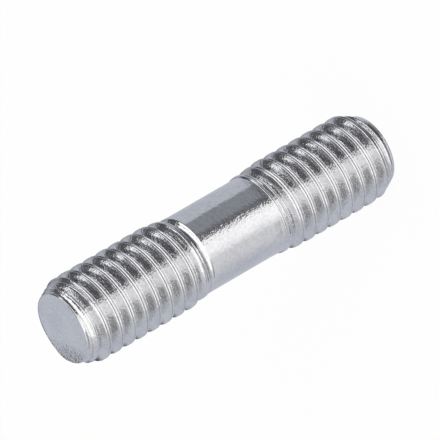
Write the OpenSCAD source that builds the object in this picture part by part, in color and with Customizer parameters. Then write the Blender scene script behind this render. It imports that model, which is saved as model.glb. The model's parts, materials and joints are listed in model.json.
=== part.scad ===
// Double end stud, M6 x 1: one steel pin with a rolled right-hand thread at each end and a plain
// shank between them. It stands on its lower end face. The origin is the middle of that face, and
// +Z runs up the stud. All sizes are in millimetres, and all angles in degrees.

/* [Stud] */
// Length over the two end faces
stud_length = 25; // [23:0.5:60]
// Diameter of the plain shank
shank_d = 5.28; // [5.2:0.02:5.4]

/* [Thread] */
// Distance from one crest to the next, along the stud
pitch = 1; // [0.75:0.05:1.2]
// Diameter over the crests
crest_d = 5.85; // [5.7:0.05:6]
// Depth of the grooves below the crests, as a share of the pitch
depth_share = 0.54; // [0.5:0.01:0.6]
// Width of the crest's flat top, as a share of the pitch
crest_share = 0.26; // [0.2:0.01:0.3]
// Height of the rounding at the bottom of a groove, as a share of the pitch
rounding_share = 0.06; // [0.02:0.01:0.1]
// Angle between the two flanks of a groove
flank_angle = 60; // [50:1:62]
// Flat steps around one turn of thread
steps = 40; // [24:4:48]

/* [Ends] */
// Diameter of the flat end faces
face_d = 4.65; // [4:0.05:4.8]
// Length over which the crests rise from an end face to their full height
lead_in = 1.2; // [0.6:0.1:2]
// Angle around the stud at which the middle of the lower thread's crest leaves the lower face
lower_turn = 227; // [0:1:359]
// Angle around the stud at which the middle of the upper thread's crest leaves the upper face
upper_turn = 355; // [0:1:359]

/* [Run-out] */
// Length from the lower face to the lower thread's shoulder, where the shank begins
lower_thread = 9.2; // [6:0.1:10]
// Length from the upper face to the upper thread's shoulder
upper_thread = 9.6; // [6:0.1:10]
// Length over which the crests sink to the shoulder
crest_fade = 1.8; // [1:0.1:2.5]
// Height of the shoulder above the shank
shoulder_rise = 0.08; // [0.06:0.01:0.14]
// Length over which the shoulder sinks to the shank
shoulder_fade = 0.9; // [0.5:0.1:1.2]
// Length of the slope that closes the last groove
groove_close = 0.5; // [0.3:0.05:0.8]

/* [Hidden] */
$fn = 96;

crest_r = crest_d / 2;
shank_r = shank_d / 2;
face_r = face_d / 2;
shoulder_r = shank_r + shoulder_rise;

thread_depth = depth_share * pitch;
crest_w = crest_share * pitch;
rounding = rounding_share * pitch;
root_r = crest_r - thread_depth;
flank_w = (thread_depth - rounding) * tan(flank_angle / 2);

// How far the envelope clears the crests, and the shank's cone reaches under the grooves
overlap = 0.15;
// How far the faded crests stay under the top of the shoulder
tuck = 0.05;
// How far a threaded end runs on inside the shank
embed = 0.3;

// One pitch of the thread, as heights and radii: the crest, with height 0 at its middle, and the
// groove above it
profile = [
    [-crest_w / 2, crest_r],
    [crest_w / 2, crest_r],
    [crest_w / 2 + flank_w, root_r + rounding],
    [pitch / 2, root_r],
    [pitch - crest_w / 2 - flank_w, root_r + rounding]
];
places = len(profile);

// The screw starts this many turns below the end face, so that its first turn is cut away whole
run_in = 1.06;

// A point of the screw, at one step around it and one place of the profile
function screw_point(i, j) =
    let (turns = i / steps - run_in, radius = profile[j][1])
    [radius * cos(360 * turns), radius * sin(360 * turns), pitch * turns + profile[j][0]];

// Solid screw, thread and core in one, whose crest's middle is at angle 0 and height 0, and that
// passes a given length above the ground
module screw(length) {
    count = ceil((length / pitch + run_in) * steps);
    // The place after the last is the first place again, one turn on
    function at(i, j) =
        j == places ? i + steps :
        j == 0 ? i : (count + steps + 1) + (j - 1) * (count + 1) + i;
    first_line = [for (i = [0 : count + steps]) screw_point(i, 0)];
    other_lines = [for (j = [1 : places - 1], i = [0 : count]) screw_point(i, j)];
    bottom = len(first_line) + len(other_lines);
    top = bottom + 1;
    middles = [[0, 0, -pitch * run_in], [0, 0, pitch * (count / steps + 1 - run_in)]];
    walls = [for (i = [0 : count - 1], j = [0 : places - 1], half = [0, 1])
        half == 0 ? [at(i, j), at(i, j + 1), at(i + 1, j)]
                  : [at(i + 1, j), at(i, j + 1), at(i + 1, j + 1)]];
    bottom_rim = [for (i = [0 : steps - 1]) [bottom, at(i, 0), at(i + 1, 0)]];
    bottom_step = [for (j = [0 : places - 1]) [bottom, at(0, j + 1), at(0, j)]];
    top_rim = [for (i = [count : count + steps - 1]) [top, at(i + 1, 0), at(i, 0)]];
    top_step = [for (j = [0 : places - 1]) [top, at(count, j), at(count, j + 1)]];
    polyhedron(
        concat(first_line, other_lines, middles),
        concat(walls, bottom_rim, bottom_step, top_rim, top_step)
    );
}

// What a thread is kept within: the flat end face, the rise to full height, and the long sink to
// the shoulder
module thread_envelope(length) {
    clear_r = crest_r + overlap;
    lead_slope = (crest_r - face_r) / lead_in;
    fade_slope = (crest_r - shoulder_r + tuck) / crest_fade;
    rotate_extrude()
        polygon([
            [0, 0],
            [face_r, 0],
            [clear_r, (clear_r - face_r) / lead_slope],
            [clear_r, length - crest_fade - overlap / fade_slope],
            [shoulder_r - tuck - embed * fade_slope, length + embed],
            [0, length + embed]
        ]);
}

// One threaded end, standing on its flat face
module threaded_end(length, turn) {
    intersection() {
        rotate([0, 0, turn])
            screw(length + embed);
        thread_envelope(length);
    }
}

// Plain shank, with a low shoulder at each end and the slope that closes each last groove
module shank() {
    cone_r = root_r - overlap;
    upper_z = stud_length - upper_thread;
    rotate_extrude()
        polygon([
            [0, lower_thread - groove_close],
            [cone_r, lower_thread - groove_close],
            [shoulder_r, lower_thread],
            [shank_r, lower_thread + shoulder_fade],
            [shank_r, upper_z - shoulder_fade],
            [shoulder_r, upper_z],
            [cone_r, upper_z + groove_close],
            [0, upper_z + groove_close]
        ]);
}

module stud() {
    color("silver") {
        threaded_end(lower_thread, lower_turn);
        shank();
        translate([0, 0, stud_length])
            rotate([180, 0, 0])
                threaded_end(upper_thread, -upper_turn);
    }
}

stud();
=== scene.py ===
# %% [markdown]
# # A double end stud
#
# The real thing is a plain steel pin with a screw thread rolled on to each end. Two hard dies
# squeeze the blank and push the metal up into crests, so nothing is cut away, and the surface
# comes out smooth and bright. It has no head: one end goes into a tapped hole, and the other takes
# a nut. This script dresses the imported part: a finer mesh with the marks that rolling leaves, a
# bright metal, a pale floor, soft light and a camera. It starts with the fixed frame.

# %% Load the frame
import json
import math

import bmesh
import bpy
from mathutils import Matrix, Vector, noise


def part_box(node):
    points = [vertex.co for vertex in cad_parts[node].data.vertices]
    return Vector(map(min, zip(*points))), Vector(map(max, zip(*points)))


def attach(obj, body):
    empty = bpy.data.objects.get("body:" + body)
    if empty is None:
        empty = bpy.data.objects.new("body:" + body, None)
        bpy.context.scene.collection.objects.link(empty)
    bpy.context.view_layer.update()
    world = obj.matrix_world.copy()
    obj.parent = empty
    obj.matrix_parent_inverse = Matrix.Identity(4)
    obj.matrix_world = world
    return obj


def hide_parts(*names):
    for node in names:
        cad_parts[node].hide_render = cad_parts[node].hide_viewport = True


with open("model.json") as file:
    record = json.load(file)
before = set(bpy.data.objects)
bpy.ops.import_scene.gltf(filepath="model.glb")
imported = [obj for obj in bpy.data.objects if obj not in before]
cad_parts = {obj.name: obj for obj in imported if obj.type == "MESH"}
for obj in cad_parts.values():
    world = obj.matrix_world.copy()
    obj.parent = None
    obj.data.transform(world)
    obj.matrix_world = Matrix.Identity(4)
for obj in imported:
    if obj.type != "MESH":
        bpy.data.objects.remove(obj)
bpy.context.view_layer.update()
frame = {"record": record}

# %% [markdown]
# The frame is in metres, and the stud is small: a groove is half a millimetre deep. Some of the
# mesh operators treat anything under a thousandth of a unit as nothing, so the stud is modelled in
# millimetres and brought to metres once it is whole. The length and the crest radius come from
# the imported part, and the threads' lengths from its record, so they can't drift apart.

# %% Driving sizes, in millimetres
MM = 0.001

low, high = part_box("stud")
stud_length = (high.z - low.z) / MM
crest_r = max(high.x, high.y) / MM
shank_r = 2.64
face_r = 2.325
pitch = 1.0
groove_depth = 0.54

mounts = {m["name"]: m for m in frame["record"]["mounts"]}
lower_thread = mounts["lower_thread"]["dims"]["length_mm"]
upper_thread = mounts["upper_thread"]["dims"]["length_mm"]
print(f"length {stud_length:.2f}, crest radius {crest_r:.3f}, threads {lower_thread} and {upper_thread}")

# %% [markdown]
# A thread is one short outline carried round and up the pin. The outline here is one pitch long,
# from the bottom of a groove, over a crest, to the bottom of the next groove. A rolled crest isn't
# flat: the metal climbs both flanks of the die and meets in the middle, which leaves two rounded
# lips with a shallow V between them. Each lip catches the light as a thin bright line, and the V
# stays dark. It would be possible to write every point of such a curve, but a few corners are
# easier to read and to change, and the vertex bevel rounds each by its own amount.

# %% One pitch of the thread as a wire
crest_half = 0.15
lip_half = 0.085
seam_depth = 0.048
flank_lean = math.tan(math.radians(30))
root_half = 0.03

# Each corner's height, its depth under the crest, and how far its rounding reaches
half_outline = [
    (0.0, seam_depth, 0.008),
    (lip_half, 0.0, 0.022),
    (crest_half, 0.024, 0.035),
    (pitch / 2 - root_half, groove_depth, 0.022),
    (pitch / 2, groove_depth, 0.0),
]
corners = [(-height, depth, reach) for height, depth, reach in reversed(half_outline[1:])] + half_outline


def thread_wire(bm):
    """The outline of one pitch as a chain of edges in the XZ plane, its corners rounded."""
    verts = [bm.verts.new((crest_r - depth, 0.0, height)) for height, depth, reach in corners]
    for first, second in zip(verts, verts[1:]):
        bm.edges.new((first, second))
    for vert, (height, depth, reach) in zip(verts, corners):
        if reach:
            bmesh.ops.bevel(bm, geom=[vert], offset=reach, segments=3, profile=0.5,
                            affect="VERTICES", material=-1)
    long_edges = [edge for edge in bm.edges if edge.calc_length() > 0.2]
    bmesh.ops.subdivide_edges(bm, edges=long_edges, cuts=3)
    return list(bm.verts) + list(bm.edges)


trial = bmesh.new()
wire = thread_wire(trial)
print("wire", len(trial.verts), "points,", len(trial.edges), "edges")
trial.free()

# %% [markdown]
# The spin operator turns the wire about the Z axis, and its `dvec` lifts the wire a little at each
# step, which makes one turn of a helix. Copies of that turn, each a pitch higher, make the rest.
# They run from below the lower end face to above the upper one, shank and all: on the shank the
# thread is later pressed flat. So the whole skin is one even grid with no patches, and a
# mirror-bright metal would show every patch. Where turns meet their points coincide, and merging
# doubles sews them together.

# %% Wind the wire into a screw
steps_per_turn = 84
spare_turns = 2
lower_turn = math.radians(227)
upper_turn = math.radians(355)

bm = bmesh.new()
wire = thread_wire(bm)
bmesh.ops.rotate(bm, verts=bm.verts, cent=(0, 0, 0), matrix=Matrix.Rotation(lower_turn, 3, "Z"))
bmesh.ops.translate(bm, verts=bm.verts, vec=(0, 0, -spare_turns * pitch))
bmesh.ops.spin(bm, geom=wire, cent=(0, 0, 0), axis=(0, 0, 1), dvec=(0, 0, pitch / steps_per_turn),
               angle=math.tau, steps=steps_per_turn, use_duplicate=False)
one_turn = list(bm.verts) + list(bm.edges) + list(bm.faces)
turns = math.ceil(stud_length / pitch) + 2 * spare_turns - 1
for turn in range(1, turns):
    copied = bmesh.ops.duplicate(bm, geom=one_turn)["geom"]
    bmesh.ops.translate(bm, verts=[item for item in copied if isinstance(item, bmesh.types.BMVert)],
                        vec=(0, 0, turn * pitch))
bmesh.ops.remove_doubles(bm, verts=bm.verts, dist=0.004)
print("screw", len(bm.verts), "points,", len(bm.faces), "faces")

# %% [markdown]
# The dies only press where they touch. At each end face the blank is tapered, so the crests start
# low and stay unfilled, with the two lips far apart and a dry valley between. Towards the shank
# the dies run out: the crests sink, and a short slope closes the last groove, which shows as a
# bright wedge on the upper thread. The lower thread's last crest leaves one thin lip. All of this
# is a question of how far a point may stand from the axis at its height, so a loop moves the
# points of the screw in or out.

# %% Helpers for easing
def ease(value, start, end):
    """0 before start, 1 after end, and a smooth step between them."""
    t = min(max((value - start) / (end - start), 0.0), 1.0)
    return t * t * (3 - 2 * t)


def bump(value, middle, reach):
    """1 at the middle, falling smoothly to 0 on both sides."""
    return math.exp(-((value - middle) / reach) ** 2)


# %% Sizes of the ends and the run-outs
# The rounding of an end face's rim, as steps inward and outward along the stud
rim_steps = [(0.012, 0.026), (0.024, 0.020), (0.034, 0.008)]
rim_round = sum(rise for inward, rise in rim_steps)
lead_in = 1.2
valley_depth = 0.075
# How steeply the last groove closes, and how far the shank's swell reaches to both sides
closing_slope = math.tan(math.radians(28))
swell_reach = 0.4

# Every place in a run-out is a distance from its own end face:
# crest: where the crests start to sink, and where they are down to their stub, a share of their height
# lip: where the last crest loses its side towards the shank, which leaves a thin lip
# step: where the stub itself ends
# groove_end: where the closing slope of the last groove reaches the shank
# swell: how much the shank swells, and where the swell is highest
lower_run_out = {
    "crest": (lower_thread - 1.8, lower_thread + 0.1),
    "stub": 0.34,
    "lip": (lower_thread - 0.5, lower_thread - 0.3),
    "step": (lower_thread + 0.15, lower_thread + 0.45),
    "groove_end": lower_thread + 0.1,
    "swell": (0.022, lower_thread + 0.1),
}
upper_run_out = {
    "crest": (upper_thread - 1.4, upper_thread - 0.1),
    "stub": 0.35,
    "lip": (upper_thread + 0.5, upper_thread + 0.6),
    "step": (upper_thread, upper_thread + 0.3),
    "groove_end": upper_thread + 0.32,
    "swell": (0.01, upper_thread + 0.3),
}
for name, run_out in (("lower", lower_run_out), ("upper", upper_run_out)):
    print(name, "groove closed", round(run_out["groove_end"], 2), "mm from its face")

# %% [markdown]
# The two threads have to leave their end faces at different angles, but one screw runs from end to
# end. So its points are lifted by a part of a pitch in the middle of the stud, where the shank will
# be, and the upper half arrives in step with the upper thread. From then on each point needs to
# know only how far it is from its own end face, and how far it lies above or below the nearest
# crest.

# %% Where a point lies on the thread
# The stretch of the stud over which the screw is lifted, as shares of the length
lift_span = (0.42 * stud_length, 0.58 * stud_length)
turn_shift = (lower_turn - upper_turn) / math.tau * pitch


def thread_place(height):
    """Whether a height is in the lower half, how far it is from its end face, and its run-out."""
    lower = height < stud_length / 2
    if lower:
        return True, height, lower_run_out
    return False, stud_length - height, upper_run_out


def from_crest(angle, height, lower):
    """How far a point lies above the nearest crest's middle. It is negative below it."""
    start = lower_turn if lower else upper_turn - stud_length / pitch * math.tau
    return ((height / pitch - (angle - start) / math.tau + 0.5) % 1.0 - 0.5) * pitch


print("screw lifted by", round(turn_shift, 3), "mm between heights", lift_span)

# %% [markdown]
# Five small functions say what rolling and shearing did at a place. The first gives the edge of an
# end face, because the upper one is a little out of round. The second gives the distance from the
# axis, the third how much the shear tore an end face, and the fourth how deep in a crest's V a
# point lies. The last says how strongly the skin's grain shows. That is full in the grooves, which
# the dies never polished, and along a scuffed strip of the shank, a little weaker on the crests,
# and several times as strong on the side of an end face that the shear tore.

# %% Press the screw to its real heights
# A flat and a bulge in the upper face's edge: the angle round the stud, the rise, and the reach
edge_marks = [(math.radians(88), -0.14, 0.6), (math.radians(145), 0.08, 0.4)]
scuff_middle = math.radians(-84)
scuff_reach = math.radians(20)
# How much of the full grain the plain shank, the crests and an end face carry
shank_grain = 0.15
crest_grain = 0.75
face_grain = 0.3
torn_grain = 3.6
# Heights over a crest's middle between which the thin lip's missing side falls away
lip_side = (0.1, 0.18)
# The share of a seam's depth at which its painted shade starts
seam_shade_start = 0.55


def face_edge(angle, lower):
    """Radius of an end face at its rim. The upper one was sheared a little out of round."""
    radius = face_r
    for place, rise, reach in [] if lower else edge_marks:
        away = abs((angle - place + math.pi) % math.tau - math.pi)
        radius += rise * bump(away, 0, reach)
    return radius


def pressed_radius(radius, angle, height):
    """Where a point of the full screw ends up, measured from the axis."""
    lower, reach, run_out = thread_place(height)
    above = from_crest(angle, height, lower)
    if radius > shank_r:
        strength = 1 - (1 - run_out["stub"]) * ease(reach, *run_out["crest"])
        shank_side = above if lower else -above
        strength *= 1 - ease(shank_side, *lip_side) * ease(reach, *run_out["lip"])
        radius = shank_r + (radius - shank_r) * strength * (1 - ease(reach, *run_out["step"]))
    else:
        radius = max(radius, shank_r - closing_slope * max(run_out["groove_end"] - reach, 0.0))
    rise, place = run_out["swell"]
    radius += rise * bump(reach, place, swell_reach)
    edge_r = face_edge(angle, lower)
    limit = edge_r + (crest_r - edge_r) * max(reach, 0.0) / lead_in
    if radius > limit - seam_depth and limit < crest_r:
        half = crest_half + (crest_r - limit) * flank_lean
        inward = 1 - abs(above) / half
        unfilled = ease(crest_r - limit, 0.0, 0.15) * ease(reach, 0.0, 0.25)
        valley = valley_depth * unfilled * ease(inward, 0.12, 0.5)
        radius = min(radius, limit - valley)
    return radius


def torn_side(x, y):
    """0 over most of an end face, rising to 1 at the side that the shear tore."""
    return ease(0.5 * y - 0.87 * x, 0.7, 2.0)


def in_seam(radius, angle, height):
    """1 at the bottom of a crest's seam, and 0 from its lips outwards."""
    lower, reach, run_out = thread_place(height)
    if abs(from_crest(angle, height, lower)) >= lip_half:
        return 0.0
    # The deeper a point lies in the seam, the more painted shade the metal's colour gets
    depth = ease(crest_r - radius, seam_shade_start * seam_depth, seam_depth)
    return depth * (1 - ease(reach, *run_out["crest"]))


def roughened(x, y, z):
    """How strongly the skin's fine grain shows. 1 is the full grain of a groove."""
    if not rim_round <= z <= stud_length - rim_round:
        return face_grain + torn_grain * torn_side(x, y)
    in_groove = ease(shank_r - math.hypot(x, y), -0.05, 0.1)
    strip = bump(math.atan2(y, x), scuff_middle, scuff_reach)
    on_thread = crest_grain * (z < lower_thread or z > stud_length - upper_thread)
    return shank_grain + (1 - shank_grain) * max(in_groove, strip, on_thread)


# "seam" holds how deep a point lies in a crest's V, which the material turns into painted shade
seam = bm.verts.layers.float.new("seam")
rough = bm.verts.layers.float.new("rough")
for vert in bm.verts:
    vert.co.z += turn_shift * ease(vert.co.z, *lift_span)
    angle = math.atan2(vert.co.y, vert.co.x)
    radius = math.hypot(vert.co.x, vert.co.y)
    new_radius = pressed_radius(radius, angle, vert.co.z)
    vert[seam] = in_seam(radius, angle, vert.co.z)
    vert.co.x *= new_radius / radius
    vert.co.y *= new_radius / radius
print("pressed", len(bm.verts), "points")

# %% [markdown]
# The ends of the blank were sheared off and slightly broken at the rim. Each end is cut with
# `bisect_plane` a hair short of its full length. The open rim is then extruded again and again,
# each time scaled towards the axis: three short steps make up the missing hair and round the rim,
# and wider ones cross the face, so that it has enough points to be a little uneven.

# %% Cut and close the ends
face_rings = 9


def close_end(bm, height, outward):
    """Cuts the screw at a height, rounds the rim and closes it. outward is 1 up or -1 down."""
    geom = list(bm.verts) + list(bm.edges) + list(bm.faces)
    cut = bmesh.ops.bisect_plane(bm, geom=geom, dist=0.0005, plane_co=(0, 0, height),
                                 plane_no=(0, 0, outward), clear_outer=True)
    verts = [item for item in cut["geom_cut"] if isinstance(item, bmesh.types.BMVert)]
    bmesh.ops.remove_doubles(bm, verts=verts, dist=0.02)
    rim = [edge for edge in bm.edges if edge.is_boundary
           and all(abs(vert.co.z - height) < 0.001 for vert in edge.verts)]
    ring_step = face_r / (face_rings + 1)
    radius = face_r
    for inward, rise in rim_steps + [(ring_step, 0.0)] * face_rings:
        made = bmesh.ops.extrude_edge_only(bm, edges=rim)["geom"]
        verts = [item for item in made if isinstance(item, bmesh.types.BMVert)]
        rim = [item for item in made if isinstance(item, bmesh.types.BMEdge) and item.is_boundary]
        shrink = (radius - inward) / radius
        bmesh.ops.scale(bm, verts=verts, vec=(shrink, shrink, 1))
        bmesh.ops.translate(bm, verts=verts, vec=(0, 0, rise * outward))
        radius -= inward
    middle_face = bmesh.ops.contextual_create(bm, geom=rim)["faces"]
    bmesh.ops.poke(bm, faces=middle_face)
    return len(rim)


for height, outward in ((rim_round, -1), (stud_length - rim_round, 1)):
    print("end at", round(height, 3), "closed on", close_end(bm, height, outward), "edges")
for vert in bm.verts:
    vert[rough] = roughened(*vert.co)
    if not rim_round <= vert.co.z <= stud_length - rim_round:
        vert[seam] = 0.0
open_edges = [edge for edge in bm.edges if not edge.is_manifold]
print("open edges", len(open_edges))

# %% [markdown]
# No rolled stud is perfect. The lips wander a little and carry nicks from the barrel in which the
# studs were plated, and one side of the upper face has a small torn patch from the shear. Blender's
# own noise moves the points by a few hundredths of a millimetre at most. Noise from a point's
# place gives the same stud each time, with nothing random to seed.

# %% Wear and tear
# A point this near to an end belongs to its face
face_skin = 0.012
dish_depth = 0.012
torn_depth = 0.03
wander_depth = 0.004
nick_depth = 0.022


def wear(bm):
    """Moves points by small noise: lips that wander, nicks, and uneven end faces."""
    for vert in bm.verts:
        x, y, z = vert.co
        radius = math.hypot(x, y)
        on_face = min(z, stud_length - z) < face_skin
        if on_face:
            edge_gap = ease(radius, face_r, face_r - 0.5)
            dip = dish_depth * (0.5 + 0.5 * noise.noise(Vector((x, y, z)) * 1.3)) * edge_gap
            torn = torn_side(x, y) * (z > 1) * (0.5 + 0.5 * noise.noise(Vector((x, y, 7)) * 5))
            dip += torn_depth * torn * ease(radius, face_r, face_r - 0.25)
            vert.co.z += dip if z < 1 else -dip
        elif radius > shank_r + 0.02:
            wander = noise.noise(Vector((x, y, z)) * 1.1)
            nick = ease(noise.noise(Vector((x + 9, y, z)) * 2.6), 0.42, 0.62)
            move = min(wander_depth * wander - wander_depth, 0.0) - nick_depth * nick
            vert.co.x *= 1 + move / radius
            vert.co.y *= 1 + move / radius


wear(bm)
bmesh.ops.recalc_face_normals(bm, faces=bm.faces)
print("volume", round(bm.calc_volume(signed=True), 1), "cubic mm")

# %% [markdown]
# The skin is ready, and goes from millimetres to metres. Two vertex attributes go with it. "seam"
# keeps how deep a point lies in a crest's V, which the material darkens with painted shade, and
# "rough" keeps how strongly the skin's grain shows there. The metal's material reads both. The
# piece then takes the place of the imported solid, which stays in the physics model.

# %% Make the stud an object
bmesh.ops.scale(bm, verts=bm.verts, vec=(MM, MM, MM))
for face in bm.faces:
    face.smooth = True
mesh = bpy.data.meshes.new("stud_skin")
bm.to_mesh(mesh)
bm.free()
stud = bpy.data.objects.new("stud_skin", mesh)
bpy.context.scene.collection.objects.link(stud)
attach(stud, "root")
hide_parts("stud")
triangles = sum(len(polygon.vertices) - 2 for polygon in mesh.polygons)
print("stud", triangles, "triangles")

# %% [markdown]
# Materials are small networks of nodes. A few helpers keep them readable: one adds a node and
# wires or sets its inputs by name, one makes noise at a real size, and one joins two values.

# %% Helpers for nodes
def node(tree, kind, inputs=None, **settings):
    """Adds a node, sets its settings, and sets or links its inputs. Returns the node."""
    made = tree.nodes.new(kind)
    for name, value in settings.items():
        setattr(made, name, value)
    for key, value in (inputs or {}).items():
        if isinstance(value, bpy.types.NodeSocket):
            tree.links.new(value, made.inputs[key])
        else:
            made.inputs[key].default_value = value
    return made


def maths(tree, operation, *values):
    """One Math node. Each value is a number or another node's output."""
    made = tree.nodes.new("ShaderNodeMath")
    made.operation = operation
    for index, value in enumerate(values):
        if isinstance(value, bpy.types.NodeSocket):
            tree.links.new(value, made.inputs[index])
        else:
            made.inputs[index].default_value = value
    return made.outputs[0]


def remap(tree, value, from_low, from_high, to_low, to_high):
    """A smooth step from one range of numbers to another."""
    made = node(tree, "ShaderNodeMapRange", {"Value": value, "From Min": from_low, "From Max": from_high,
                                             "To Min": to_low, "To Max": to_high},
                interpolation_type="SMOOTHSTEP")
    return made.outputs["Result"]


def blend(tree, factor, first, second):
    """Mixes two colours."""
    made = tree.nodes.new("ShaderNodeMix")
    made.data_type = "RGBA"
    for index, value in ((0, factor), (6, first), (7, second)):
        if isinstance(value, bpy.types.NodeSocket):
            tree.links.new(value, made.inputs[index])
        else:
            made.inputs[index].default_value = value
    return made.outputs[2]


def grain(tree, place, size_mm, detail=2.0, roughness=0.5):
    """Noise whose features are about size_mm across."""
    made = node(tree, "ShaderNodeTexNoise", {"Vector": place, "Scale": 1 / (size_mm * MM),
                                             "Detail": detail, "Roughness": roughness})
    return made.outputs["Fac"]


print("node helpers ready")

# %% [markdown]
# The finish is bright plated steel. It looks like a mirror that somebody breathed on: reflections
# are clear, but their edges break up into specks, because the plating follows the fine pebbly skin
# that rolling and tumbling leave. So the material is a metal with a low roughness, and most of
# its character is in the bump: pebbles about a fifth of a millimetre across, and specks of half
# that size in the grooves and along a scuffed strip of the shank. The rest of the shank is
# almost smooth. The colour itself varies only a little.

# %% The plated steel
STEEL_DULL = (0.70, 0.70, 0.715, 1)
STEEL_BRIGHT = (0.80, 0.80, 0.80, 1)
# Painted shade for the bottom of each crest's V
SEAM_SHADE = (0.12, 0.12, 0.125, 1)
# Sizes of the grains and the height of their relief, in millimetres
PEBBLE_SIZE = 0.2
SPECK_SIZE = 0.105
FINE_SIZE = 0.09
BROAD_SIZE = 1.6
RELIEF_HEIGHT = 0.019


def plated_steel():
    """Bright plated steel. It reads the seam and rough attributes."""
    material = bpy.data.materials.new("plated_steel")
    material.use_nodes = True
    tree = material.node_tree
    tree.nodes.clear()
    place = node(tree, "ShaderNodeTexCoord").outputs["Object"]
    # How deep a point lies in a seam, which sets how much painted shade it gets
    shaded_seam = node(tree, "ShaderNodeAttribute", attribute_name="seam").outputs["Fac"]
    rough = node(tree, "ShaderNodeAttribute", attribute_name="rough").outputs["Fac"]
    pebbles = grain(tree, place, PEBBLE_SIZE, 2.0, 0.5)
    fine = grain(tree, place, FINE_SIZE, 2.0, 0.6)
    broad = grain(tree, place, BROAD_SIZE, 2.0, 0.5)
    # The colour drifts between two steels, and painted shade darkens the seams
    mottle = maths(tree, "MULTIPLY", broad, 0.4)
    mottle = maths(tree, "ADD", mottle, maths(tree, "MULTIPLY", pebbles, 0.6))
    bright = blend(tree, remap(tree, mottle, 0.38, 0.6, 0.0, 1.0), STEEL_DULL, STEEL_BRIGHT)
    colour = blend(tree, maths(tree, "MULTIPLY", shaded_seam, 0.35), bright, SEAM_SHADE)
    # The haze of the mirror is uneven too, and the seams are duller
    haze = remap(tree, broad, 0.35, 0.7, 0.05, 0.09)
    haze = maths(tree, "ADD", haze, maths(tree, "MULTIPLY", fine, 0.04))
    haze = maths(tree, "ADD", haze, maths(tree, "MULTIPLY", shaded_seam, 0.2))
    # Pebbles and fine grain everywhere, and specks only where the skin is rough
    relief = maths(tree, "ADD", pebbles, maths(tree, "MULTIPLY", fine, 0.2))
    relief = maths(tree, "MULTIPLY", relief, rough)
    speck_share = remap(tree, rough, 0.5, 1.0, 0.0, 0.7)
    specks = maths(tree, "MULTIPLY", grain(tree, place, SPECK_SIZE, 1.0), speck_share)
    relief = maths(tree, "ADD", relief, specks)
    raised = node(tree, "ShaderNodeBump",
                  {"Strength": 1.0, "Distance": RELIEF_HEIGHT * MM, "Height": relief})
    shader = node(tree, "ShaderNodeBsdfPrincipled",
                  {"Base Color": colour, "Metallic": 1.0, "Roughness": haze,
                   "Normal": raised.outputs["Normal"]})
    node(tree, "ShaderNodeOutputMaterial", {"Surface": shader.outputs["BSDF"]})
    return material


stud.data.materials.append(plated_steel())
print("material", stud.data.materials[0].name)

# %% [markdown]
# A metal has no colour of its own to speak of: it shows the room. The room here is a plain studio,
# painted on the world for mirror-like rays: a pale tent all round, white cards in front, and dark
# cards on the left, which give the metal its contrast. The cards at and below the horizon show on
# the plain shank, and the high ones show on the flanks of the thread, which lean back. Rays that
# light a dull surface see an even pale tent instead, so a colour renders as it is written, and the
# camera sees plain white.
#
# Directions are as somebody who stands at the stud and faces the camera would give them: degrees
# to the right of the camera, and degrees up.

# %% The studio for mirror-like rays
CAMERA_AZIMUTH = -90.0
TENT = (0.55, 0.575, 0.64, 1)
# How bright the tent is to a dull surface
DULL_LEVEL = 0.78


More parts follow.
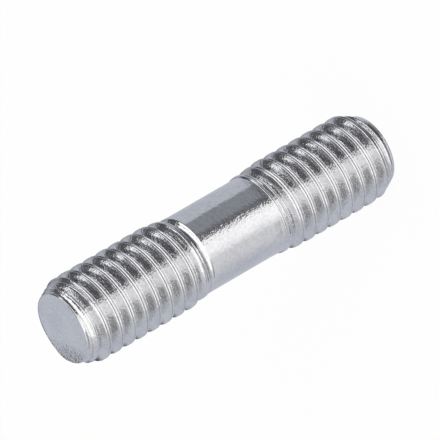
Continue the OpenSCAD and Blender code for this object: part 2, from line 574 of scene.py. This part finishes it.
def tent_nodes(tree):
    """The studio's colour in every direction."""
    direction = node(tree, "ShaderNodeTexCoord").outputs["Generated"]
    x, y, z = node(tree, "ShaderNodeSeparateXYZ", {"Vector": direction}).outputs
    azimuth = maths(tree, "ARCTAN2", y, x)
    height = maths(tree, "ARCSINE", z)

    def panel(colour, behind, left, right, bottom, top, soft):
        """A soft-edged card from left to right and from bottom to top, in degrees."""
        middle = math.radians(CAMERA_AZIMUTH - (left + right) / 2)
        turned = maths(tree, "SUBTRACT", azimuth, middle)
        off = maths(tree, "ABSOLUTE", maths(tree, "WRAP", turned, math.pi, -math.pi))
        half, edge = math.radians((right - left) / 2), math.radians(soft)
        across = remap(tree, off, half - edge, half + edge, 1.0, 0.0)
        off = maths(tree, "ABSOLUTE", maths(tree, "SUBTRACT", height, math.radians((bottom + top) / 2)))
        half = math.radians((top - bottom) / 2)
        along = remap(tree, off, half - edge, half + edge, 1.0, 0.0)
        return blend(tree, maths(tree, "MULTIPLY", across, along), behind, colour)

    # Overhead: dark on the left and pale on the right, with a duller edge behind
    colour = panel((0.14, 0.14, 0.15, 1), TENT, -180, 0, 66, 100, 3)
    colour = panel((0.76, 0.76, 0.75, 1), colour, 0, 180, 50, 100, 6)
    colour = panel((0.40, 0.40, 0.40, 1), colour, 88, 180, 50, 66, 5)
    # In front: a broad pale card with a white one inside, which makes the shank's bright band
    colour = panel((0.80, 0.80, 0.82, 1), colour, -60, 85, -46, 60, 30)
    colour = panel((1.20, 1.20, 1.21, 1), colour, -60, 34, -46, 60, 16)
    # To the right, low: the grey ends of the grooves
    colour = panel((0.43, 0.43, 0.425, 1), colour, 40, 93, -25, -6, 4)
    colour = panel((0.30, 0.30, 0.305, 1), colour, 66, 93, -22, -6, 2)
    # Behind on the left: the grey sides of the crests
    colour = panel((0.40, 0.42, 0.46, 1), colour, -180, -120, -23, 32, 4)
    # Behind: what the upper end face shows, with the dark line of its rim below
    colour = panel((0.57, 0.595, 0.665, 1), colour, 140, 220, 15, 48, 8)
    colour = panel((0.10, 0.10, 0.11, 1), colour, 158, 202, -19, 19, 3)
    # To the left, low: the shank's two-tone dark band
    colour = panel((0.29, 0.30, 0.34, 1), colour, -83, -19, -50, 0, 3)
    colour = panel((0.16, 0.16, 0.175, 1), colour, -38, -18, -38, 0, 3)
    # To the left, from below the horizon to high up: the dark patches of the grooves
    colour = panel((0.13, 0.13, 0.14, 1), colour, -123, -9, -26, 2, 3)
    colour = panel((0.10, 0.10, 0.11, 1), colour, -127, -92, -3, 46, 3)
    colour = panel((0.10, 0.10, 0.11, 1), colour, -142, -120, 27, 46, 4)
    colour = panel((0.14, 0.14, 0.15, 1), colour, -96, -12, 36, 66, 5)
    # White cards: the streak beside each crest, and the bright lines on the lips
    colour = panel((1.25, 1.25, 1.26, 1), colour, -131, -107, 47, 64, 3)
    colour = panel((1.40, 1.40, 1.41, 1), colour, -92, -20, 7, 33, 3)
    colour = panel((1.35, 1.35, 1.36, 1), colour, -24, 66, 5, 44, 6)
    # Straight below: grey on the right and nearly black on the left
    colour = panel((0.30, 0.30, 0.31, 1), colour, 0, 180, -100, -54, 6)
    colour = panel((0.08, 0.08, 0.09, 1), colour, -180, 0, -100, -54, 6)
    return colour


world = bpy.data.worlds.new("studio")
bpy.context.scene.world = world
world.use_nodes = True
tree = world.node_tree
tree.nodes.clear()
rays = node(tree, "ShaderNodeLightPath").outputs
even_tent = (DULL_LEVEL, DULL_LEVEL, DULL_LEVEL * 1.02, 1)
plain = blend(tree, rays["Is Camera Ray"], even_tent, (1, 1, 1, 1))
seen = blend(tree, rays["Is Glossy Ray"], plain, tent_nodes(tree))
background = node(tree, "ShaderNodeBackground", {"Color": seen, "Strength": 1.0})
node(tree, "ShaderNodeOutputWorld", {"Surface": background.outputs["Background"]})
print("world with", len(tree.nodes), "nodes")

# %% [markdown]
# The floor is a wide pale sheet, and the stud stands on it on its lower end face. It fills the
# whole picture, so it is what makes the background white: part of what the camera sees there is
# a white of its own, and the rest is the sheet's true colour, which keeps the soft shadow.

# %% The floor
FLOOR_SIZE = 6.0
PAPER = (0.93, 0.935, 0.94, 1)
WHITE_SHARE = 0.94


def floor_paper():
    """A pale sheet that looks almost white to the camera."""
    material = bpy.data.materials.new("floor_paper")
    material.use_nodes = True
    tree = material.node_tree
    tree.nodes.clear()
    rays = node(tree, "ShaderNodeLightPath").outputs
    paper = node(tree, "ShaderNodeBsdfDiffuse", {"Color": PAPER})
    white = node(tree, "ShaderNodeEmission", {"Color": (1, 1, 1, 1), "Strength": 1.0})
    share = maths(tree, "MULTIPLY", rays["Is Camera Ray"], WHITE_SHARE)
    both = node(tree, "ShaderNodeMixShader", {0: share, 1: paper.outputs[0], 2: white.outputs[0]})
    node(tree, "ShaderNodeOutputMaterial", {"Surface": both.outputs[0]})
    return material


bm = bmesh.new()
bmesh.ops.create_grid(bm, x_segments=1, y_segments=1, size=FLOOR_SIZE / 2)
bmesh.ops.translate(bm, verts=bm.verts, vec=(0, 0, low.z))
mesh = bpy.data.meshes.new("floor")
bm.to_mesh(mesh)
bm.free()
floor = bpy.data.objects.new("floor", mesh)
bpy.context.scene.collection.objects.link(floor)
floor.data.materials.append(floor_paper())
floor.visible_glossy = False
print("floor", FLOOR_SIZE, "m across")

# %% [markdown]
# One large lamp stands beside the camera, to its left and a little higher as the picture is turned.
# It adds the rest of the light, and throws the faint shadow that falls behind the stud. It is hidden
# from mirror-like rays, which already see the white cards painted on the world.

# %% The lamp
def aim(place, target):
    """A matrix that stands at a place and looks at a target along its own -Z."""
    back = (place - target).normalized()
    return Matrix.Translation(place) @ back.to_track_quat("Z", "Y").to_matrix().to_4x4()


middle = Vector((0, 0, (low.z + high.z) / 2))
light = bpy.data.lights.new("softbox", "AREA")
light.shape = "RECTANGLE"
light.size = 0.16
light.size_y = 0.12
light.energy = 0.35
lamp = bpy.data.objects.new("softbox", light)
bpy.context.scene.collection.objects.link(lamp)
lamp.matrix_world = aim(middle + Vector((0.10, -0.28, 0.24)), middle)
lamp.visible_glossy = False
print("lamp", light.energy, "W")

# %% [markdown]
# The photograph was taken with a long lens, from 29 degrees above the square-on view of the
# stud's side, and the camera was rolled until the stud lay slanting across the picture with its
# upper end at the lower left. In the shared frame the stud stands upright, so here the camera
# does the rolling.

# %% The camera
IMAGE_SIDE = 440
PIXELS_PER_MM = 16.31
MIDDLE_PIXEL = (217.45, 238.35)
CAMERA_RISE = math.radians(29.4)
CAMERA_ROLL = math.radians(-120.08)
CAMERA_DISTANCE = 0.58

camera_data = bpy.data.cameras.new("camera")
camera = bpy.data.objects.new("camera", camera_data)
bpy.context.scene.collection.objects.link(camera)
to_camera = Vector((0, -math.cos(CAMERA_RISE), math.sin(CAMERA_RISE)))
turn = to_camera.to_track_quat("Z", "Y").to_matrix().to_4x4() @ Matrix.Rotation(CAMERA_ROLL, 4, "Z")
right, up = turn.col[0].to_3d(), turn.col[1].to_3d()
off_x = (IMAGE_SIDE / 2 - MIDDLE_PIXEL[0]) / PIXELS_PER_MM * MM
off_y = (MIDDLE_PIXEL[1] - IMAGE_SIDE / 2) / PIXELS_PER_MM * MM
target = middle + right * off_x + up * off_y
camera.matrix_world = Matrix.Translation(target + to_camera * CAMERA_DISTANCE) @ turn
picture_width = IMAGE_SIDE / PIXELS_PER_MM * MM
camera_data.lens = camera_data.sensor_width * CAMERA_DISTANCE / picture_width
bpy.context.scene.camera = camera
bpy.context.scene.view_settings.view_transform = "Standard"
print("lens", round(camera_data.lens), "mm, picture", round(picture_width / MM, 1), "mm wide")
